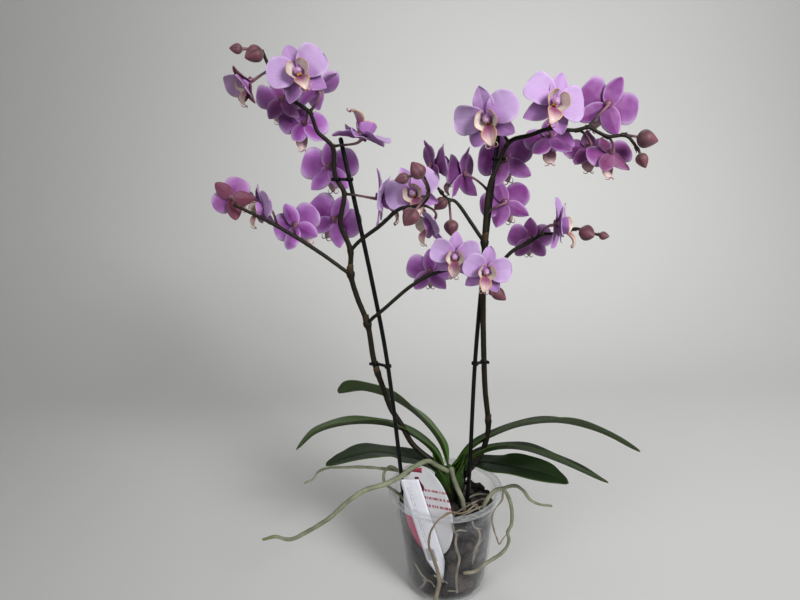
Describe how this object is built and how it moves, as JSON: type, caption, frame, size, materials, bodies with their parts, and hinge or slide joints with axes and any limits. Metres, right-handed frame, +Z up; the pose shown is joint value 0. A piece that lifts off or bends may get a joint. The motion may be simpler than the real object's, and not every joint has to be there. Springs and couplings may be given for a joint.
{
  "type": "potted orchid",
  "caption": "Moth orchid in a clear plastic pot: arching dark leaves, air roots and tall branched flower spikes of violet blooms and buds, clipped to slim black stakes.",
  "frame": {"origin": "centre of the pot's flat underside, where it stands", "axes": "+Z up along the pot's axis and the flower spikes; +X to the viewer's right and -Y towards the viewer, as the plant is shown from its front"},
  "size_m": [0.423, 0.1649, 0.5478],
  "materials": {
    "clear_plastic": "clear, slightly milky",
    "bark": "rough orchid bark",
    "crown_green": "smooth living tissue",
    "leaf": "glossy, thick living leaf",
    "stem": "satin living stem",
    "petal": "soft velvety petal",
    "root": "matt, silvery air root",
    "black_plastic": "semi-gloss black",
    "card": "coated white plant tag"
  },
  "bodies": {
    "root": {"pot": "clear_plastic", "substrate": "bark", "crown": "crown_green", "stake_left": "black_plastic", "stake_right": "black_plastic", "tag_oval": "card", "tag_strip": "card", "clip_left_low": "black_plastic", "clip_left_high": "black_plastic", "clip_right_low": "black_plastic", "clip_right_high": "black_plastic", "leaf_left_1": "leaf", "leaf_right_1": "leaf", "root_wall_1": "root", "leaf_left_2": "leaf", "leaf_right_2": "leaf", "root_wall_2": "root", "leaf_left_3": "leaf", "leaf_right_3": "leaf", "root_wall_3": "root", "spike_left": "stem", "spike_right": "stem", "bloom_left_01": "petal", "bloom_left_02": "petal", "bloom_left_03": "petal", "bloom_left_04": "petal", "bloom_left_05": "petal", "bloom_left_06": "petal", "bloom_left_07": "petal", "bloom_left_08": "petal", "bloom_left_09": "petal", "bloom_left_10": "petal", "bloom_left_11": "petal", "bloom_left_12": "petal", "bloom_left_13": "petal", "bloom_left_14": "petal", "bloom_left_15": "petal", "bloom_left_16": "petal", "bloom_left_17": "petal", "bloom_right_01": "petal", "bloom_right_02": "petal", "bloom_right_03": "petal", "bloom_right_04": "petal", "bloom_right_05": "petal", "bloom_right_06": "petal", "bloom_right_07": "petal", "bloom_right_08": "petal", "bloom_right_09": "petal", "bloom_right_10": "petal", "bloom_right_11": "petal", "bloom_right_12": "petal", "root_left_long": "root", "root_left_thin": "root", "root_right": "root", "root_front": "root", "root_prop": "root"}
  },
  "joints": []
}
